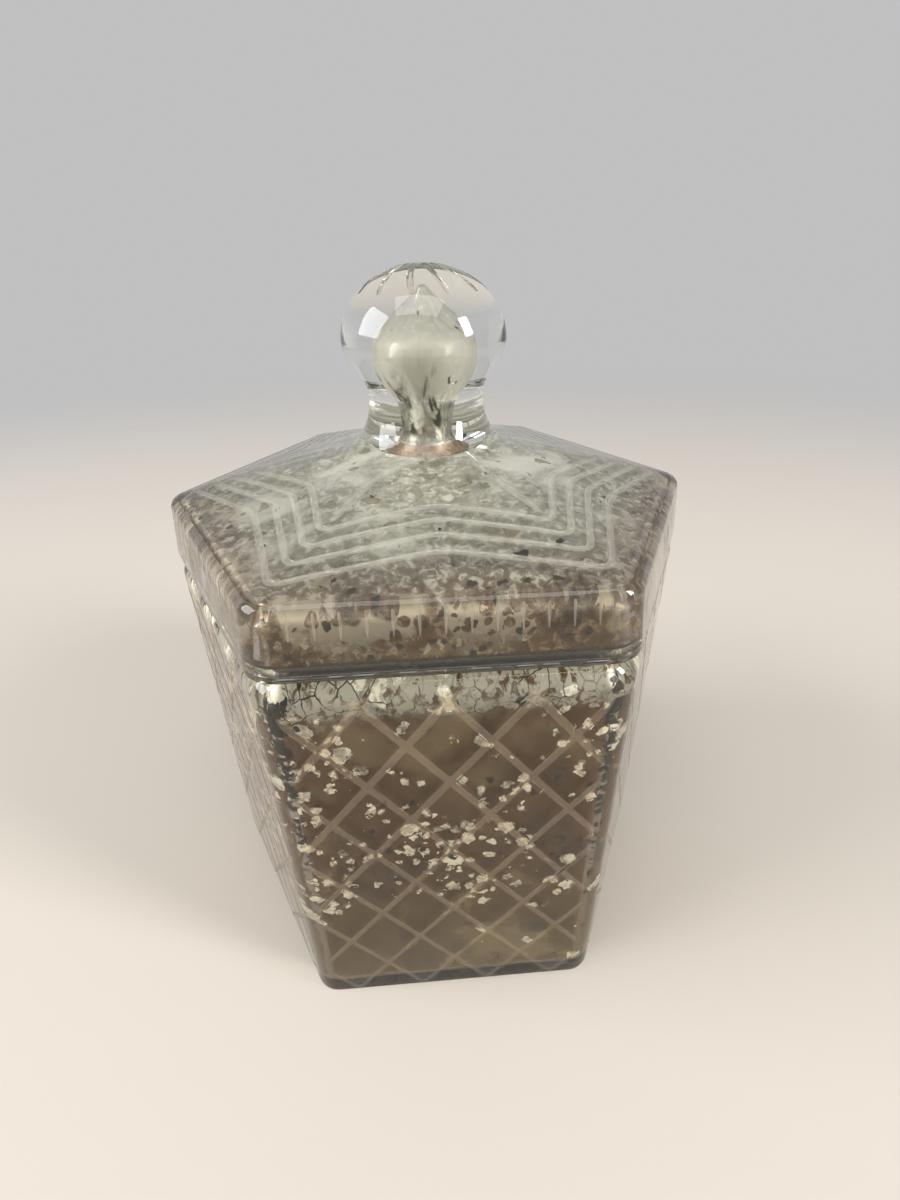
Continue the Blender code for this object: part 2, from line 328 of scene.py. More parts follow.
def knobOutside():
    rise, steps = knob["top"] - knob["bulb"], knob["steps"]
    outline = [(knob["crownRadius"], knob["top"] - knob["crownDrop"])]
    for step in range(1, steps):
        angle = math.pi / 2 * (1 - step / steps)
        outline.append((knob["bulbRadius"] * math.cos(angle), knob["bulb"] + rise * math.sin(angle)))
    for step in range(steps):
        share = step / steps
        swing = (1 + math.cos(math.pi * share)) / 2
        radius = knob["waistRadius"] + (knob["bulbRadius"] - knob["waistRadius"]) * swing
        outline.append((radius, knob["bulb"] + (knob["waist"] - knob["bulb"]) * share))
    brim = domeHeight((knob["baseRadius"] + lid["knobGap"]) / plan["halfWidth"])
    radius, height = knob["waistRadius"], knob["waist"]
    outline += bezier((
        (radius, height),
        (radius, height - knob["flareDrop"]),
        (radius + knob["flareOut"], brim + knob["flareRise"]),
        (knob["baseRadius"], brim),
    ), steps)[:-1]
    return [roundRing(r, z) for r, z in outline]


def knobInside(extra):
    # three curves, each given by its ends and handles: the bore's flared mouth, the bowl and the spade
    lowest, middle, crown = knobLow.z, knob["cavityHeight"], knob["cavityTop"] - 2.2 * extra
    bore, mouth, wide = knob["bore"] - extra, knob["boreMouth"] - extra, knob["cavity"] - extra
    outline = bezier((
        (mouth, lowest),
        (mouth - 0.0030, lowest + 0.0030),
        (bore, lowest + 0.0050),
        (bore, lowest + 0.0110),
    ), knob["mouthSteps"])
    outline += bezier((
        (bore, lowest + 0.0130),
        (bore, middle - 0.0130),
        (wide - 0.0015, middle - 0.0065),
        (wide, middle),
    ), knob["steps"])
    outline += bezier((
        (wide, middle),
        (wide, middle + 0.0035),
        (0.0040 - extra, middle + 0.0045),
        (0, crown),
    ), knob["steps"])[1:-1]
    return [roundRing(r, z) for r, z in outline]


def wheelTree():
    # the glass cutter's wheel: a circle swept along the drawn paths
    tree = bpy.data.node_groups.new("wheelCut", "GeometryNodeTree")
    tree.interface.new_socket("Paths", in_out="INPUT", socket_type="NodeSocketGeometry")
    for name, kind, start in (
        ("Wheel Radius", "NodeSocketFloat", 0.0015),
        ("Facets", "NodeSocketInt", 16),
        ("Finish", "NodeSocketMaterial", None),
    ):
        socket = tree.interface.new_socket(name, in_out="INPUT", socket_type=kind)
        if start is not None:
            socket.default_value = start
    tree.interface.new_socket("Cutters", in_out="OUTPUT", socket_type="NodeSocketGeometry")
    nodes, links = tree.nodes, tree.links
    given, made = nodes.new("NodeGroupInput"), nodes.new("NodeGroupOutput")
    toCurve = nodes.new("GeometryNodeMeshToCurve")
    wheel = nodes.new("GeometryNodeCurvePrimitiveCircle")
    sweep = nodes.new("GeometryNodeCurveToMesh")
    real = nodes.new("GeometryNodeRealizeInstances")
    finish = nodes.new("GeometryNodeSetMaterial")
    sweep.inputs["Fill Caps"].default_value = True
    links.new(given.outputs["Paths"], toCurve.inputs["Mesh"])
    links.new(given.outputs["Wheel Radius"], wheel.inputs["Radius"])
    links.new(given.outputs["Facets"], wheel.inputs["Resolution"])
    links.new(toCurve.outputs["Curve"], sweep.inputs["Curve"])
    links.new(wheel.outputs["Curve"], sweep.inputs["Profile Curve"])
    links.new(sweep.outputs["Mesh"], real.inputs["Geometry"])
    links.new(real.outputs["Geometry"], finish.inputs["Geometry"])
    links.new(given.outputs["Finish"], finish.inputs["Material"])
    links.new(finish.outputs["Geometry"], made.inputs["Cutters"])
    return tree


def wheelRadius(cut):
    # a round wheel cuts the groove, so the groove's width and depth give its radius
    return (cut["groove"] ** 2 / 4 + cut["depth"] ** 2) / (2 * cut["depth"])


def wheelLift(cut):
    return wheelRadius(cut) - cut["depth"]


def makeCutter(name, paths, cut, tree, finish):
    # a path that ends where it starts is closed into a loop
    mesh = bpy.data.meshes.new(name + "Paths")
    places, edges = [], []
    for path in paths:
        first, looped = len(places), (path[0] - path[-1]).length < 1e-7
        kept = path[:-1] if looped else path
        places += [tuple(p) for p in kept]
        edges += [(first + i, first + i + 1) for i in range(len(kept) - 1)]
        if looped:
            edges.append((first + len(kept) - 1, first))
    mesh.from_pydata(places, edges, [])
    drawn = bpy.data.objects.new(name + "Drawn", mesh)
    bpy.context.collection.objects.link(drawn)
    modifier = drawn.modifiers.new("wheel", "NODES")
    modifier.node_group = tree
    ids = {item.name: item.identifier for item in tree.interface.items_tree if item.in_out == "INPUT"}
    modifier[ids["Wheel Radius"]] = wheelRadius(cut)
    modifier[ids["Facets"]] = cut["facets"]
    modifier[ids["Finish"]] = finish
    bpy.context.view_layer.update()
    evaluated = drawn.evaluated_get(bpy.context.evaluated_depsgraph_get())
    solid = bpy.data.meshes.new_from_object(evaluated)
    builder = bmesh.new()
    builder.from_mesh(solid)
    bmesh.ops.recalc_face_normals(builder, faces=builder.faces)
    builder.to_mesh(solid)
    builder.free()
    cutter = bpy.data.objects.new(name, solid)
    bpy.context.collection.objects.link(cutter)
    bpy.data.objects.remove(drawn, do_unlink=True)
    return cutter


def cutAway(piece, cutter):
    modifier = piece.modifiers.new("cut", "BOOLEAN")
    modifier.operation = "DIFFERENCE"
    modifier.solver = "EXACT"
    modifier.material_mode = "TRANSFER"
    modifier.object = cutter
    bpy.context.view_layer.update()
    evaluated = piece.evaluated_get(bpy.context.evaluated_depsgraph_get())
    mesh = bpy.data.meshes.new_from_object(evaluated)
    piece.modifiers.remove(modifier)
    piece.data = mesh
    bpy.data.objects.remove(cutter, do_unlink=True)


def shadeRound(piece, degrees):
    piece.data.shade_smooth()
    piece.data.set_sharp_from_angle(angle=math.radians(degrees))


diamondCut = {
    "width": 0.0207,
    "height": 0.0258,
    "crossing": 0.0920,
    "groove": 0.0023,
    "depth": 0.00028,
    "margin": 0.0020,
    "top": jar["seam"] - jar["shoulderRoll"] + 0.0030,
    "bottom": -0.0022,
    "shortest": 0.0040,
    "rows": 12,
    "facets": 36,
    "fading": 0.0014,
}


def facePlace(side, across, height, lift):
    # a point on one of the jar's six faces: across from its middle, up, and out from the glass
    corners = hexCorners(wallInset(height))
    first, second = corners[side], corners[(side + 1) % 6]
    along = (second - first).normalized()
    out = Vector((along.y, -along.x))
    # the wheel pressed less hard towards the foot of the jar
    lighter = diamondCut["fading"] * (jar["seam"] - height)
    place = (first + second) / 2 + along * across + out * (lift + lighter)
    return Vector((place.x, place.y, height))


def diamondPaths(lean):
    # slanting cuts that lean one way on every face, kept to the stretch between base and shoulder
    paths = []
    corners = hexCorners(0)
    slope = diamondCut["height"] / diamondCut["width"] * lean
    for side in range(6):
        half = (corners[(side + 1) % 6] - corners[side]).length / 2 - diamondCut["margin"]
        for number in range(-diamondCut["rows"], diamondCut["rows"] + 1):
            middle = diamondCut["crossing"] + number * diamondCut["height"]
            low, high = sorted((diamondCut[key] - middle) / slope for key in ("bottom", "top"))
            start, end = max(-half, low), min(half, high)
            if end - start < diamondCut["shortest"]:
                continue
            lift = wheelLift(diamondCut)
            paths.append([facePlace(side, x, middle + slope * x, lift) for x in (start, end)])
    return paths


def outerSkin(piece):
    # the piece as it is now, ready to be asked where its surface lies
    builder = bmesh.new()
    builder.from_mesh(piece.data)
    skin = BVHTree.FromBMesh(builder)
    builder.free()
    return skin


def onSkin(skin, flat, lift):
    # the place on the dome straight below a plan point, lifted square to the glass
    spot, normal = skin.ray_cast(Vector((flat.x, flat.y, knob["waist"])), Vector((0, 0, -1)))[:2]
    return Vector((flat.x, flat.y, spot.z + lift / max(normal.z, 0.5)))


chevronCut = {
    "groove": 0.0019,
    "depth": 0.00036,
    "shares": (0.945, 0.860, 0.780, 0.700),
    "bend": 0.125,
    "rounding": 0.0040,
    "roundSteps": 4,
    "straightSteps": 6,
    "facets": 24,
}


def chevronPaths(skin):
    # each chevron row is one zigzag round the whole lid: out at the ridges, in between them
    paths = []
    corners = hexCorners(lid["roll"])
    rounding = chevronCut["rounding"]
    roundSteps, straightSteps = chevronCut["roundSteps"], chevronCut["straightSteps"]
    for share in chevronCut["shares"]:
        bends = []
        for side in range(6):
            middle = (corners[side] + corners[(side + 1) % 6]) / 2
            bends += [corners[side] * share, middle * (share - chevronCut["bend"])]
        flat = []
        for index, bend in enumerate(bends):
            before, after = bends[index - 1], bends[(index + 1) % len(bends)]
            start = bend + (before - bend).normalized() * rounding
            end = bend + (after - bend).normalized() * rounding
            for step in range(roundSteps + 1):
                t = step / roundSteps
                flat.append(start * (1 - t) ** 2 + bend * 2 * t * (1 - t) + end * t * t)
            following = after + (bend - after).normalized() * rounding
            flat += [end.lerp(following, step / straightSteps) for step in range(1, straightSteps)]
        paths.append([onSkin(skin, point, wheelLift(chevronCut)) for point in flat + flat[:1]])
    return paths


ridgeCut = {
    "groove": 0.0028,
    "depth": 0.0005,
    "from": 0.66,
    "to": 0.36,
    "runOut": 0.0006,
    "steps": 8,
    "facets": 24,
}


def ridgePaths(skin):
    # one groove down each ridge of the dome, shallower towards both ends
    steps = ridgeCut["steps"]
    paths = []
    for corner in hexCorners(lid["roll"]):
        path = []
        for step in range(steps + 1):
            share = ridgeCut["from"] + (ridgeCut["to"] - ridgeCut["from"]) * step / steps
            rise = ridgeCut["runOut"] * abs(2 * step / steps - 1) ** 3
            path.append(onSkin(skin, corner * share, wheelLift(ridgeCut) + rise))
        paths.append(path)
    return paths


fluteCut = {
    "groove": 0.0007,
    "depth": 0.00022,
    "count": 13,
    "top": 0.1425,
    "bottom": 0.1340,
    "bend": 0.0010,
    "cornerGap": 0.018,
    "runOut": 0.00035,
    "sink": 0.0002,
    "facets": 12,
}


def flutePaths():
    # short upright cuts on the skirt: they run out below and bend in with the shoulder above
    paths = []
    foot, top = lid["foot"], lid["shoulder"] - lid["roll"]
    stops = (
        (fluteCut["bottom"], fluteCut["runOut"]),
        (top - fluteCut["bend"], 0),
        (fluteCut["top"], -fluteCut["sink"]),
    )
    for side in range(6):
        for number in range(fluteCut["count"]):
            path = []
            for height, extra in stops:
                inset = jar["seamInset"] * (top - height) / (top - foot) if height < top else 0
                corners = hexCorners(inset)
                first, second = corners[side], corners[(side + 1) % 6]
                along = (second - first).normalized()
                out = Vector((along.y, -along.x))
                spread = (second - first).length - fluteCut["cornerGap"]
                across = (number / (fluteCut["count"] - 1) - 0.5) * spread
                place = (first + second) / 2 + along * across + out * (wheelLift(fluteCut) + extra)
                path.append(Vector((place.x, place.y, height)))
            paths.append(path)
    return paths


knobCut = {
    "groove": 0.0018,
    "depth": 0.0006,
    "count": 12,
    "from": 80,
    "to": 40,
    "firstTurn": 0.25,
    "twist": 0.22,
    "runOut": 0.00035,
    "steps": 14,
    "facets": 16,
}


def knobPaths():
    # cuts that come down from the crown with a slight twist, shallower towards both ends
    lift, steps = wheelLift(knobCut), knobCut["steps"]
    rise = knob["top"] - knob["bulb"]
    paths = []
    for number in range(knobCut["count"]):
        turn = 2 * math.pi * (number + knobCut["firstTurn"]) / knobCut["count"]
        path = []
        for step in range(steps + 1):
            share = step / steps
            angle = math.radians(knobCut["from"] + (knobCut["to"] - knobCut["from"]) * share)
            bend = turn + knobCut["twist"] * share
            out = knobCut["runOut"] * abs(2 * share - 1) ** 3
            radius = (knob["bulbRadius"] + lift + out) * math.cos(angle)
            height = knob["bulb"] + (rise + lift + out) * math.sin(angle)
            path.append(Vector((radius * math.cos(bend), radius * math.sin(bend), height)))
        paths.append(path)
    return paths


def addNode(tree, kind, **settings):
    node = tree.nodes.new(kind)
    for name, value in settings.items():
        setattr(node, name, value)
    return node


def mathNode(tree, operation, first, second=None, clamp=False):
    node = addNode(tree, "ShaderNodeMath", operation=operation, use_clamp=clamp)
    for socket, value in zip(node.inputs, (first, second)):
        if value is None:
            continue
        if isinstance(value, (int, float)):
            socket.default_value = value
        else:
            tree.links.new(value, socket)
    return node.outputs[0]


def rangeNode(tree, value, fromLow, fromHigh, toLow=0.0, toHigh=1.0, smooth=True):
    node = addNode(tree, "ShaderNodeMapRange")
    node.interpolation_type = "SMOOTHSTEP" if smooth else "LINEAR"
    tree.links.new(value, node.inputs["Value"])
    limits = {"From Min": fromLow, "From Max": fromHigh, "To Min": toLow, "To Max": toHigh}
    for name, given in limits.items():
        node.inputs[name].default_value = given
    return node.outputs["Result"]


def mixColour(tree, factor, first, second):
    node = addNode(tree, "ShaderNodeMix", data_type="RGBA")
    for socket, value in ((node.inputs[0], factor), (node.inputs[6], first), (node.inputs[7], second)):
        if isinstance(value, (int, float)):
            socket.default_value = value
        elif isinstance(value, tuple):
            socket.default_value = (*value, 1.0)
        else:
            tree.links.new(value, socket)
    return node.outputs[2]


def noiseNode(tree, vector, scale, detail=3.0, roughness=0.55, distortion=0.0):
    node = addNode(tree, "ShaderNodeTexNoise")
    tree.links.new(vector, node.inputs["Vector"])
    node.inputs["Scale"].default_value = scale
    node.inputs["Detail"].default_value = detail
    node.inputs["Roughness"].default_value = roughness
    node.inputs["Distortion"].default_value = distortion
    return node


def voronoiNode(tree, vector, scale, feature="F1"):
    node = addNode(tree, "ShaderNodeTexVoronoi", feature=feature)
    tree.links.new(vector, node.inputs["Vector"])
    node.inputs["Scale"].default_value = scale
    return node


def splitNode(tree, cells):
    # three random numbers for each Voronoi cell
    node = addNode(tree, "ShaderNodeSeparateColor")
    tree.links.new(cells.outputs["Color"], node.inputs[0])
    return node.outputs


def shakenPlace(tree, place, shake, amount):
    node = addNode(tree, "ShaderNodeVectorMath", operation="MULTIPLY_ADD")
    tree.links.new(shake, node.inputs[0])
    node.inputs[1].default_value = (amount, amount, amount)
    tree.links.new(place, node.inputs[2])
    return node.outputs[0]


def silverGroup():
    # how old silvering has broken up: haze, clouds, flecks, lace, dark specks, crackle; and painted shade
    # along the upright corners and at the rims
    tree = bpy.data.node_groups.new("agedSilver", "ShaderNodeTree")
    inputs = (
        ("Vector", "NodeSocketVector", None),
        ("Haze Colour", "NodeSocketColor", (0.2, 0.16, 0.1, 1)),
        ("Cloud Colour", "NodeSocketColor", (0.3, 0.28, 0.22, 1)),
        ("Fleck Colour", "NodeSocketColor", (0.8, 0.76, 0.62, 1)),
        ("Dark Colour", "NodeSocketColor", (0.03, 0.02, 0.012, 1)),
        ("Flecks", "NodeSocketFloat", 1.0),
        ("Clouds", "NodeSocketFloat", 0.5),
        ("Sponge", "NodeSocketFloat", 0.5),
        ("Crackle", "NodeSocketFloat", 0.0),
        ("Specks", "NodeSocketFloat", 0.5),
        ("Lace", "NodeSocketFloat", 0.0),
        ("Shade", "NodeSocketFloat", 0.0),
        ("Shine", "NodeSocketFloat", 0.0),
        ("Haze Opacity", "NodeSocketFloat", 0.5),
        ("Corner Shade", "NodeSocketFloat", 0.0),
        ("Rim Shade", "NodeSocketFloat", 0.0),
    )
    for name, kind, start in inputs:
        socket = tree.interface.new_socket(name, in_out="INPUT", socket_type=kind)
        if start is not None:
            socket.default_value = start
    tree.interface.new_socket("Colour", in_out="OUTPUT", socket_type="NodeSocketColor")
    for name in ("Opacity", "Metal", "Roughness", "Height"):
        tree.interface.new_socket(name, in_out="OUTPUT", socket_type="NodeSocketFloat")
    given, made = tree.nodes.new("NodeGroupInput"), tree.nodes.new("NodeGroupOutput")
    links = tree.links
    place = given.outputs["Vector"]
    # places are shaken by a fine noise so that no spot is a true circle
    shake = noiseNode(tree, place, 330, 3.0).outputs["Color"]
    shaken, nudged = shakenPlace(tree, place, shake, 0.0042), shakenPlace(tree, place, shake, 0.0013)

    cloudNoise = noiseNode(tree, place, 38, 4.0, 0.6, 0.4).outputs["Fac"]
    fineNoise = noiseNode(tree, place, 400, 6.0, 0.62, 0.6).outputs["Fac"]
    clouds = rangeNode(tree, cloudNoise, 0.50, 0.66)
    clouds = mathNode(tree, "MULTIPLY", clouds, given.outputs["Clouds"], True)
    sponge = rangeNode(tree, fineNoise, 0.38, 0.68)
    sponge = mathNode(tree, "MULTIPLY", sponge, given.outputs["Sponge"], True)

    # flecks: some Voronoi cells, each with its own size, gathered where a slow noise is high
    cells = voronoiNode(tree, shaken, 200)
    pick = splitNode(tree, cells)
    gather = noiseNode(tree, place, 26, 2.0).outputs["Fac"]
    odds = rangeNode(tree, gather, 0.40, 0.58, 0.12, 0.85)
    odds = mathNode(tree, "MULTIPLY", odds, given.outputs["Flecks"])
    chosen = mathNode(tree, "LESS_THAN", pick[0], odds)
    size = rangeNode(tree, pick[1], 0, 1, 0.20, 0.56, False)
    inside = mathNode(tree, "LESS_THAN", cells.outputs["Distance"], size)
    crumbs = voronoiNode(tree, shaken, 380)
    crumbPick = splitNode(tree, crumbs)
    crumbChosen = mathNode(tree, "LESS_THAN", crumbPick[0], mathNode(tree, "MULTIPLY", odds, 0.40))
    crumbSize = rangeNode(tree, crumbPick[1], 0, 1, 0.15, 0.45, False)
    crumbInside = mathNode(tree, "LESS_THAN", crumbs.outputs["Distance"], crumbSize)
    crumb = mathNode(tree, "MULTIPLY", crumbChosen, crumbInside)
    fleck = mathNode(tree, "MAXIMUM", mathNode(tree, "MULTIPLY", inside, chosen), crumb, True)
    coreSize = mathNode(tree, "MULTIPLY", size, 0.72)
    core = mathNode(tree, "LESS_THAN", cells.outputs["Distance"], coreSize)
    rim = mathNode(tree, "MULTIPLY", mathNode(tree, "SUBTRACT", 1.0, core), fleck)
    mottled = rangeNode(tree, fineNoise, 0.38, 0.60, 0.45, 1.0)
    fleckBright = mathNode(tree, "MULTIPLY", fleck, mottled)

    # lace: bright silver with round holes eaten out of it, in patches
    holes = voronoiNode(tree, nudged, 290)
    holeSize = rangeNode(tree, splitNode(tree, holes)[0], 0, 1, 0.25, 0.62, False)
    solid = mathNode(tree, "GREATER_THAN", holes.outputs["Distance"], holeSize)
    patches = noiseNode(tree, place, 70, 2.0).outputs["Fac"]
    lace = mathNode(tree, "MULTIPLY", solid, rangeNode(tree, patches, 0.49, 0.55))
    lace = mathNode(tree, "MULTIPLY", lace, given.outputs["Lace"], True)

    # dark specks and crackle lines
    speckCells = voronoiNode(tree, shaken, 330)
    speckOdds = rangeNode(tree, cloudNoise, 0.36, 0.52, 0.55, 0.03)
    speckOdds = mathNode(tree, "MULTIPLY", speckOdds, given.outputs["Specks"])
    speckChosen = mathNode(tree, "LESS_THAN", splitNode(tree, speckCells)[1], speckOdds)
    speckInside = mathNode(tree, "LESS_THAN", speckCells.outputs["Distance"], 0.34)
    speck = mathNode(tree, "MULTIPLY", speckInside, speckChosen)
    crackCells = voronoiNode(tree, nudged, 240, "DISTANCE_TO_EDGE")
    crack = rangeNode(tree, crackCells.outputs["Distance"], 0.012, 0.040, 1.0, 0.0)
    crack = mathNode(tree, "MULTIPLY", crack, rangeNode(tree, patches, 0.42, 0.56, 1.0, 0.25))
    crack = mathNode(tree, "MULTIPLY", crack, given.outputs["Crackle"], True)
    dark = mathNode(tree, "MAXIMUM", speck, crack)

    colour = mixColour(tree, clouds, given.outputs["Haze Colour"], given.outputs["Cloud Colour"])
    colour = mixColour(tree, sponge, colour, given.outputs["Cloud Colour"])
    shadeNoise = noiseNode(tree, place, 62, 4.0, 0.6, 0.8).outputs["Fac"]
    shade = rangeNode(tree, shadeNoise, 0.52, 0.64)
    shade = mathNode(tree, "MULTIPLY", shade, given.outputs["Shade"], True)
    colour = mixColour(tree, shade, colour, given.outputs["Dark Colour"])
    bright = mathNode(tree, "MAXIMUM", fleckBright, lace)
    colour = mixColour(tree, bright, colour, given.outputs["Fleck Colour"])
    # painted shade: along the six upright corners the silver is painted nearly black with a ragged edge,
    # for the dark look of the thick glass there
    folded = addNode(tree, "ShaderNodeVectorMath", operation="ABSOLUTE")
    links.new(place, folded.inputs[0])
    flat = addNode(tree, "ShaderNodeVectorMath", operation="MULTIPLY")
    links.new(folded.outputs[0], flat.inputs[0])
    flat.inputs[1].default_value = (1, 1, 0)
    nearest = None
    for corner in hexCorners(0)[2:4]:
        away = addNode(tree, "ShaderNodeVectorMath", operation="DISTANCE")
        links.new(flat.outputs[0], away.inputs[0])
        away.inputs[1].default_value = (corner.x, corner.y, 0)
        reach = away.outputs["Value"]
        nearest = reach if nearest is None else mathNode(tree, "MINIMUM", nearest, reach)
    ragged = mathNode(tree, "ADD", nearest, rangeNode(tree, fineNoise, 0.3, 0.7, -0.0006, 0.0009))
    paintedCornerShade = rangeNode(tree, ragged, 0.0054, 0.0057, 1.0, 0.0)
    paintedCornerShade = mathNode(tree, "MULTIPLY", paintedCornerShade, given.outputs["Corner Shade"])
    dark = mathNode(tree, "MAXIMUM", dark, paintedCornerShade)
    # painted shade at the rims, for the shadow in the seam where the lid sits on the jar
    dark = mathNode(tree, "MAXIMUM", dark, given.outputs["Rim Shade"])
    colour = mixColour(tree, dark, colour, given.outputs["Dark Colour"])
    links.new(colour, made.inputs["Colour"])

    clouded = mathNode(tree, "MULTIPLY", clouds, 0.35)
    opacity = mathNode(tree, "ADD", given.outputs["Haze Opacity"], clouded, True)
    for mark, cover in ((sponge, 0.8), (fleck, 0.97), (lace, 0.95), (shade, 0.75), (dark, 0.9)):
        opacity = mathNode(tree, "MAXIMUM", opacity, mathNode(tree, "MULTIPLY", mark, cover), True)
    links.new(opacity, made.inputs["Opacity"])

    metal = mathNode(tree, "ADD", mathNode(tree, "MULTIPLY", fleck, 0.35), 0.35)
    shine = given.outputs["Shine"]
    metal = mathNode(tree, "MAXIMUM", metal, mathNode(tree, "MULTIPLY", shine, 0.95))
    metal = mathNode(tree, "MULTIPLY", metal, mathNode(tree, "SUBTRACT", 1.0, dark), True)
    links.new(metal, made.inputs["Metal"])
    grain = rangeNode(tree, fineNoise, 0.3, 0.7, 0.30, 0.52)
    rough = mathNode(tree, "ADD", mathNode(tree, "MULTIPLY", rim, -0.10), grain, True)
    polish = mathNode(tree, "SUBTRACT", 1.0, mathNode(tree, "MULTIPLY", shine, 0.68))
    links.new(mathNode(tree, "MULTIPLY", rough, polish), made.inputs["Roughness"])
    raised = mathNode(tree, "ADD", fleck, fineNoise)
    links.new(mathNode(tree, "MULTIPLY", raised, 0.6), made.inputs["Height"])
    return tree


def silverMaterial(name, group, values, masks, tints, stretch=(1, 1, 1)):
    # values are plain inputs of the group; masks and tints change others with height, from one level to
    # the next, and several masks on one input are multiplied
    material = bpy.data.materials.new(name)
    material.use_nodes = True
    tree = material.node_tree
    shader = tree.nodes["Principled BSDF"]
    places = addNode(tree, "ShaderNodeTexCoord")
    height = addNode(tree, "ShaderNodeSeparateXYZ")
    tree.links.new(places.outputs["Object"], height.inputs[0])
    use = addNode(tree, "ShaderNodeGroup", node_tree=group)
    drawn = addNode(tree, "ShaderNodeVectorMath", operation="MULTIPLY")
    tree.links.new(places.outputs["Object"], drawn.inputs[0])
    drawn.inputs[1].default_value = stretch
    tree.links.new(drawn.outputs[0], use.inputs["Vector"])
    for key, value in values.items():
        socket = use.inputs[key]
        socket.default_value = (*value, 1.0) if isinstance(value, tuple) else value
    for key, steps in masks.items():
        level = None
        for fromLow, fromHigh, toLow, toHigh in steps if isinstance(steps, list) else [steps]:
            step = rangeNode(tree, height.outputs["Z"], fromLow, fromHigh, toLow, toHigh)
            level = step if level is None else mathNode(tree, "MULTIPLY", level, step)
        tree.links.new(level, use.inputs[key])
    for key, (fromLow, fromHigh, colourLow, colourHigh) in tints.items():
        share = rangeNode(tree, height.outputs["Z"], fromLow, fromHigh)
        tree.links.new(mixColour(tree, share, colourLow, colourHigh), use.inputs[key])
    tree.links.new(use.outputs["Colour"], shader.inputs["Base Color"])
    tree.links.new(use.outputs["Opacity"], shader.inputs["Alpha"])
    tree.links.new(use.outputs["Metal"], shader.inputs["Metallic"])
    tree.links.new(use.outputs["Roughness"], shader.inputs["Roughness"])
    shader.inputs["Specular IOR Level"].default_value = 0.2
    bump = addNode(tree, "ShaderNodeBump")
    bump.inputs["Strength"].default_value = 0.5
    bump.inputs["Distance"].default_value = 0.0004
    tree.links.new(use.outputs["Height"], bump.inputs["Height"])
    tree.links.new(bump.outputs["Normal"], shader.inputs["Normal"])
    return material


glassDepthColour = (0.50, 0.56, 0.48)


def glassMaterial(name, colour, roughness, clearness, waviness, scale, shadowTint, density, foot=None):
    # lamps shine through it as through a tinted pane, and long paths in it turn dark green
    material = bpy.data.materials.new(name)
    material.use_nodes = True
    tree = material.node_tree
    shader = tree.nodes["Principled BSDF"]
    shader.inputs["Base Color"].default_value = (*colour, 1)
    shader.inputs["Roughness"].default_value = roughness
    shader.inputs["IOR"].default_value = 1.5
    shader.inputs["Transmission Weight"].default_value = clearness
    depth = addNode(tree, "ShaderNodeVolumeAbsorption")
    depth.inputs["Color"].default_value = (*glassDepthColour, 1)
    depth.inputs["Density"].default_value = density
    tree.links.new(depth.outputs[0], tree.nodes["Material Output"].inputs["Volume"])
    places = addNode(tree, "ShaderNodeTexCoord")
    if foot:
        # painted shade: the foot's thick edge is tinted nearly black, for the dark line where the lid
        # sits on the jar
        height = addNode(tree, "ShaderNodeSeparateXYZ")
        tree.links.new(places.outputs["Object"], height.inputs[0])
        share = rangeNode(tree, height.outputs["Z"], foot["from"], foot["to"])
        tree.links.new(mixColour(tree, share, foot["colour"], colour), shader.inputs["Base Color"])
    ripple = noiseNode(tree, places.outputs["Object"], scale, 3.0, 0.55)
    bump = addNode(tree, "ShaderNodeBump")
    bump.inputs["Strength"].default_value = waviness
    bump.inputs["Distance"].default_value = 0.0006
    tree.links.new(ripple.outputs["Fac"], bump.inputs["Height"])
    tree.links.new(bump.outputs["Normal"], shader.inputs["Normal"])
    clear = addNode(tree, "ShaderNodeBsdfTransparent")
    clear.inputs["Color"].default_value = (*shadowTint, 1)
    path = addNode(tree, "ShaderNodeLightPath")
    either = mathNode(tree, "MAXIMUM", path.outputs["Is Shadow Ray"], path.outputs["Is Diffuse Ray"])
    mix = addNode(tree, "ShaderNodeMixShader")
    tree.links.new(either, mix.inputs[0])
    tree.links.new(shader.outputs[0], mix.inputs[1])
    tree.links.new(clear.outputs[0], mix.inputs[2])
    tree.links.new(mix.outputs[0], tree.nodes["Material Output"].inputs["Surface"])
    return material


# clear glass is smooth and slightly wavy; where the wheel has cut it is finely rough and a little milky
# painted shade low on the lid's foot glass, for the dark line at the seam
lidFootPaintedShade = {"from": lid["foot"] + 0.0008, "to": lid["foot"] + 0.0022, "colour": (0.08, 0.065, 0.035)}
cutShadow = (0.90, 0.90, 0.88)
jarClear = glassMaterial("jarClearGlass", (0.98, 0.98, 0.95), 0.02, 1.0, 0.10, 60, (0.95, 0.95, 0.93), 14)
jarFrost = glassMaterial("jarCutGlass", (0.88, 0.78, 0.60), 0.24, 0.92, 0.25, 900, cutShadow, 0)
lidClear = glassMaterial(
    "lidClearGlass", (0.99, 0.99, 0.98), 0.03, 1.0, 0.12, 70, (0.96, 0.96, 0.94), 4, lidFootPaintedShade
)
lidFrost = glassMaterial("lidCutGlass", (0.60, 0.58, 0.50), 0.25, 0.78, 0.25, 900, cutShadow, 0)
fluteFrost = glassMaterial("fluteCutGlass", (0.80, 0.74, 0.62), 0.30, 0.82, 0.25, 900, cutShadow, 0)
knobBright = glassMaterial("knobCutGlass", (0.66, 0.68, 0.58), 0.12, 0.94, 0.10, 300, cutShadow, 0)

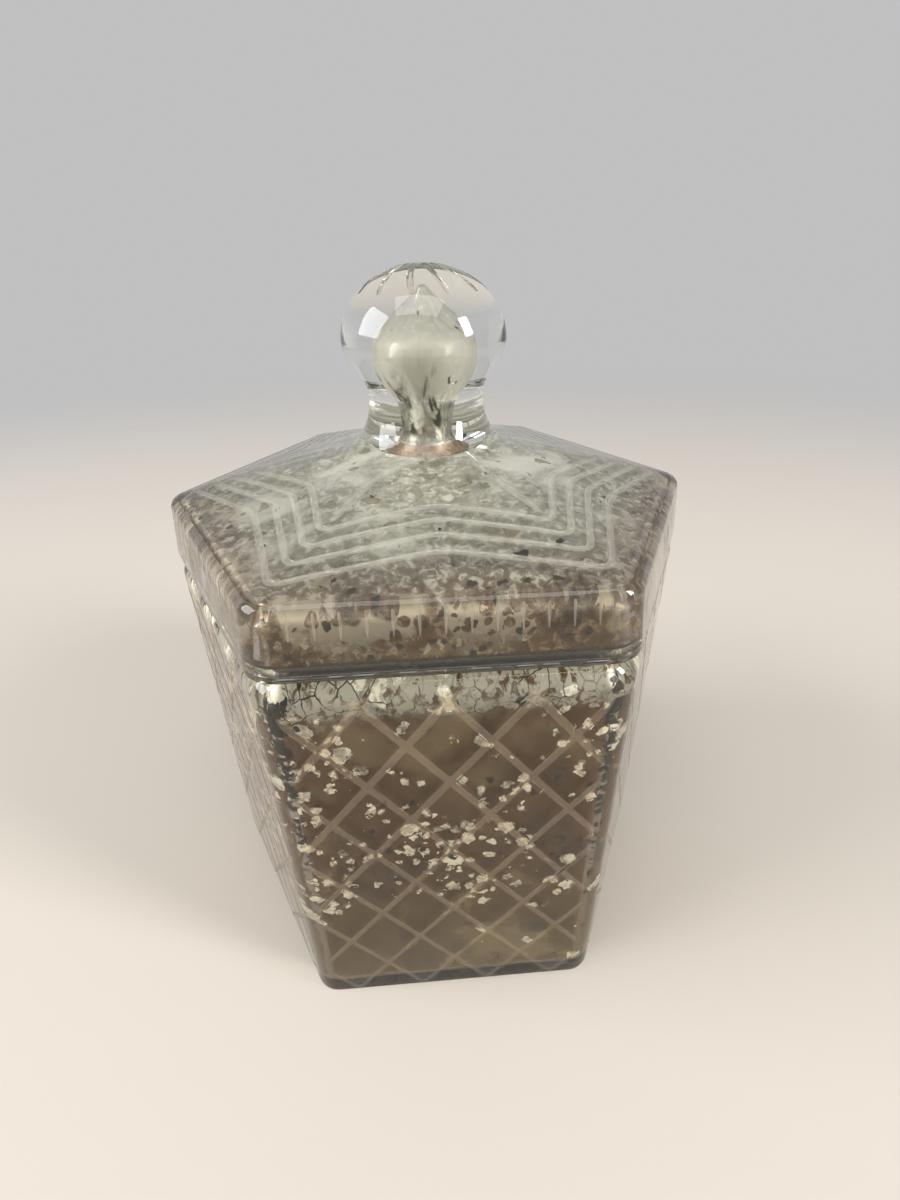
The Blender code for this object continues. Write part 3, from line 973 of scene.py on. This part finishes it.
silver = silverGroup()
jarSilver = silverMaterial("jarAgedSilver", silver, {
    "Fleck Colour": (0.95, 0.88, 0.70),
    "Dark Colour": (0.020, 0.018, 0.009),
    "Specks": 0.4,
    # painted shade along the jar's upright corners
    "Corner Shade": 1.0,
    "Shade": 0.35,
}, {
    "Haze Opacity": (0.020, 0.090, 0.66, 0.46),
    "Flecks": (0.028, 0.050, 0.02, 1.1),
    # the shoulder band from 0.111 m up: its crackle is the silver's own, and its lighter colour, with the
    # cloud colour tint below, is partly the silver's own and partly painted light where the shoulder
    # faces up
    "Clouds": (0.111, 0.115, 0.5, 1.0),
    "Sponge": (0.1110, 0.1155, 0.05, 4.5),
    "Crackle": (0.110, 0.114, 0.0, 1.3),
    "Shine": (0.111, 0.115, 0.0, 0.35),
    # painted shade: from under the shoulder up the neck the coat is dark, for the shadow in the seam
    # under the lid
    "Rim Shade": (0.1212, 0.1220, 0.0, 0.95),
}, {
    # the brown haze is partly the silver's own tone and partly a painted stand-in for a brown wooden
    # table seen through and mirrored in the glass
    "Haze Colour": (0.020, 0.080, (0.136, 0.074, 0.010), (0.148, 0.060, 0.006)),
    "Cloud Colour": (0.108, 0.115, (0.34, 0.26, 0.13), (0.46, 0.42, 0.33)),
})
lidSilver = silverMaterial("lidAgedSilver", silver, {
    "Fleck Colour": (0.34, 0.29, 0.20),
    "Dark Colour": (0.04, 0.03, 0.018),
    "Flecks": 0.35,
    "Crackle": 0.15,
    # painted shade along the lid's upright corners, fainter than on the jar
    "Corner Shade": 0.4,
}, {
    "Clouds": (0.137, 0.147, 0.5, 1.0),
    "Sponge": (0.130, 0.147, 1.3, 1.2),
    "Specks": (0.137, 0.146, 1.0, 0.25),
    "Lace": [(0.130, 0.137, 0.4, 0.9), (0.1395, 0.1410, 1.0, 0.0)],
    "Shade": (0.137, 0.146, 0.65, 0.15),
    "Shine": [(0.134, 0.142, 0.0, 0.12), (0.142, 0.147, 1.0, 1.4)],
    "Haze Opacity": (0.130, 0.150, 0.48, 0.60),
    # painted shade: the lowest edge of the lid's coat is dark, for the shadow in the seam
    "Rim Shade": (0.1284, 0.1292, 0.9, 0.0),
}, {
    "Haze Colour": (0.139, 0.1455, (0.110, 0.055, 0.017), (0.36, 0.34, 0.25)),
    "Cloud Colour": (0.136, 0.1455, (0.22, 0.155, 0.085), (0.62, 0.60, 0.51)),
})
knobSilver = silverMaterial("knobSilverHaze", silver, {
    "Dark Colour": (0.075, 0.075, 0.045),
    "Flecks": 0.0,
}, {
    "Clouds": [(0.1560, 0.1580, 0.0, 1.0), (0.172, 0.186, 1.0, 0.6)],
    "Haze Opacity": (0.184, 0.192, 0.70, 0.45),
    "Sponge": [(0.1560, 0.1580, 0.1, 1.0), (0.168, 0.176, 2.0, 0.8)],
    "Crackle": (0.166, 0.174, 0.8, 0.0),
    # in the neck the dark streaks, drawn upright by the stretch below, are painted reflection of dark
    # surroundings in the mirror-like bore; higher in the bowl the dark patches are the silver's own
    "Shade": [(0.158, 0.162, 0.0, 1.3), (0.178, 0.185, 1.0, 0.0)],
    "Shine": [(0.1560, 0.1580, 0.0, 1.4), (0.168, 0.176, 1.0, -0.6)],
}, {
    "Haze Colour": (0.1555, 0.1575, (0.24, 0.14, 0.060), (0.54, 0.51, 0.42)),
    "Cloud Colour": (0.170, 0.178, (0.97, 0.96, 0.92), (0.62, 0.60, 0.51)),
}, (2.0, 2.0, 0.6))
print("materials made")

tree = wheelTree()
shadeAngles = {"glass": 16, "silver": 40}

jarGlass = loft("jarGlass", jarOutside() + jarInside(0))
jarGlass.data.materials.append(jarClear)
for name, lean in (("rightLeaningCuts", 1), ("leftLeaningCuts", -1)):
    cutAway(jarGlass, makeCutter(name, diamondPaths(lean), diamondCut, tree, jarFrost))
shadeRound(jarGlass, shadeAngles["glass"])
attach(jarGlass, "jar")
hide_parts("jar_glass")
print("jar glass cut:", len(jarGlass.data.polygons), "faces")

# the lid and its knob are one glass: down the outside, round the foot and up the inside into the cavity
lidHollow = lidInside(0, lid["foot"] + 2 * lid["footEdge"]) + knobInside(0)
lidGlass = loft("lidGlass", knobOutside() + lidOutside() + lidHollow)
lidGlass.data.materials.append(lidClear)
lidSkin = outerSkin(lidGlass)
for name, paths, cut, finish in (
    ("chevronCuts", chevronPaths(lidSkin), chevronCut, lidFrost),
    ("ridgeCuts", ridgePaths(lidSkin), ridgeCut, lidFrost),
    ("fluteCuts", flutePaths(), fluteCut, fluteFrost),
    ("knobCuts", knobPaths(), knobCut, knobBright),
):
    cutAway(lidGlass, makeCutter(name, paths, cut, tree, finish))
shadeRound(lidGlass, shadeAngles["glass"])
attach(lidGlass, "lid")
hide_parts("lid_glass", "knob_glass")
print("lid glass cut:", len(lidGlass.data.polygons), "faces")


# the silver's outer skin stands a hair inside the glass, as a bonded film does
coat = {"gap": -0.0001, "thickness": 0.0004, "rimGap": 0.0022, "footGap": 0.0026}


def coatShell(name, rings, material, body, node, openEnds=False):
    # rings is a function of how far the skin stands in from the glass
    outer, inner = rings(coat["gap"]), rings(coat["gap"] + coat["thickness"])
    skin = outer + inner[::-1] if openEnds else outer[::-1] + inner
    piece = loft(name, skin, openEnds)
    piece.data.materials.append(material)
    shadeRound(piece, shadeAngles["silver"])
    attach(piece, body)
    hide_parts(node)
    return piece


def jarCoatRings(extra):
    neck = jar["neckInset"] + jar["neckWall"] + extra
    return [hexRing(neck, jar["rim"] - coat["rimGap"])] + jarInside(extra)


def lidCoatRings(extra):
    return lidInside(extra, lid["foot"] + coat["footGap"])


coatShell("jarSilver", jarCoatRings, jarSilver, "jar", "jar_silver_coat")
coatShell("lidSilver", lidCoatRings, lidSilver, "lid", "lid_silver_coat", True)
coatShell("knobSilver", knobInside, knobSilver, "lid", "knob_silver_coat")
print("silver coats made")

stage = {
    "floorSize": 6.0,
    "floorDrop": 0.0002,
    "floorRoughness": 0.6,
    "floorColour": (0.58, 0.525, 0.46),
    "fadeFrom": 0.25,
    "fadeTo": 1.3,
    "backdrop": (0.53, 0.53, 0.535),
    "ambient": (0.35, 0.35, 0.36),
}

floorMesh = bpy.data.meshes.new("floor")
half, drop = stage["floorSize"] / 2, stage["floorDrop"]
floorCorners = [(x * half, y * half, -drop) for x, y in ((-1, -1), (1, -1), (1, 1), (-1, 1))]
floorMesh.from_pydata(floorCorners, [], [(0, 1, 2, 3)])
floor = bpy.data.objects.new("floor", floorMesh)
bpy.context.collection.objects.link(floor)
floorPaint = bpy.data.materials.new("paleFloor")
floorPaint.use_nodes = True
floorTree = floorPaint.node_tree
floorShader = floorTree.nodes["Principled BSDF"]
floorShader.inputs["Base Color"].default_value = (*stage["floorColour"], 1)
floorShader.inputs["Roughness"].default_value = stage["floorRoughness"]
# the floor melts into the backdrop with distance
floorPlaces = addNode(floorTree, "ShaderNodeTexCoord")
distance = addNode(floorTree, "ShaderNodeVectorMath", operation="LENGTH")
floorTree.links.new(floorPlaces.outputs["Object"], distance.inputs[0])
fade = rangeNode(floorTree, distance.outputs["Value"], stage["fadeFrom"], stage["fadeTo"], 1.0, 0.0)
floorTree.links.new(fade, floorShader.inputs["Alpha"])
floorMesh.materials.append(floorPaint)

# the backdrop is bright where it is looked at, straight or through glass, and dim as a light
world = bpy.data.worlds.new("studio")
world.use_nodes = True
sky = world.node_tree
shown, lit = sky.nodes["Background"], sky.nodes.new("ShaderNodeBackground")
shown.inputs["Color"].default_value = (*stage["backdrop"], 1)
lit.inputs["Color"].default_value = (*stage["ambient"], 1)
path, either = sky.nodes.new("ShaderNodeLightPath"), sky.nodes.new("ShaderNodeMixShader")
seen = mathNode(sky, "MAXIMUM", path.outputs["Is Camera Ray"], path.outputs["Is Transmission Ray"])
seen = mathNode(sky, "MAXIMUM", seen, path.outputs["Is Glossy Ray"])
sky.links.new(seen, either.inputs[0])
sky.links.new(lit.outputs[0], either.inputs[1])
sky.links.new(shown.outputs[0], either.inputs[2])
sky.links.new(either.outputs[0], sky.nodes["World Output"].inputs["Surface"])
bpy.context.scene.world = world

lamps = (
    ("overhead", (-0.2, -0.8, 2.4), (0, 0, 0.10), (2.2, 1.4), 27.0, (1.0, 0.99, 0.97)),
    ("window", (1.5, -0.8, 0.95), (0, 0, 0.16), (0.42, 0.95), 30.0, (0.98, 0.99, 1.0)),
    ("leftFill", (-1.8, -0.2, 1.1), (0, 0, 0.12), (1.3, 1.3), 40.0, (0.98, 0.99, 1.0)),
)
for name, place, aim, size, power, colour in lamps:
    lamp = bpy.data.lights.new(name, "AREA")
    lamp.shape = "RECTANGLE"
    lamp.size, lamp.size_y = size
    lamp.energy = power
    lamp.color = colour
    holder = bpy.data.objects.new(name, lamp)
    holder.location = place
    holder.rotation_euler = (Vector(aim) - Vector(place)).to_track_quat("-Z", "Y").to_euler()
    bpy.context.collection.objects.link(holder)

view = {"place": (-0.0060, -0.1852, 0.2063), "pitch": 29.42, "yaw": 3.62, "roll": -1.30, "lens": 18.144}
camera = bpy.data.cameras.new("camera")
camera.lens = view["lens"]
camera.sensor_width = 36
camera.clip_start = 0.01
cameraHolder = bpy.data.objects.new("camera", camera)
bpy.context.collection.objects.link(cameraHolder)
yaw, pitch, roll = (math.radians(view[key]) for key in ("yaw", "pitch", "roll"))
ahead = Vector((math.sin(yaw) * math.cos(pitch), math.cos(yaw) * math.cos(pitch), -math.sin(pitch)))
level = Vector((math.cos(yaw), -math.sin(yaw), 0))
above = level.cross(ahead)
right = level * math.cos(roll) + above * math.sin(roll)
top = above * math.cos(roll) - level * math.sin(roll)
rows = [[right[i], top[i], -ahead[i], view["place"][i]] for i in range(3)]
cameraHolder.matrix_world = Matrix(rows + [[0, 0, 0, 1]])
bpy.context.scene.camera = cameraHolder
bpy.context.scene.view_settings.view_transform = "Standard"

print("stage, lamps and camera set")
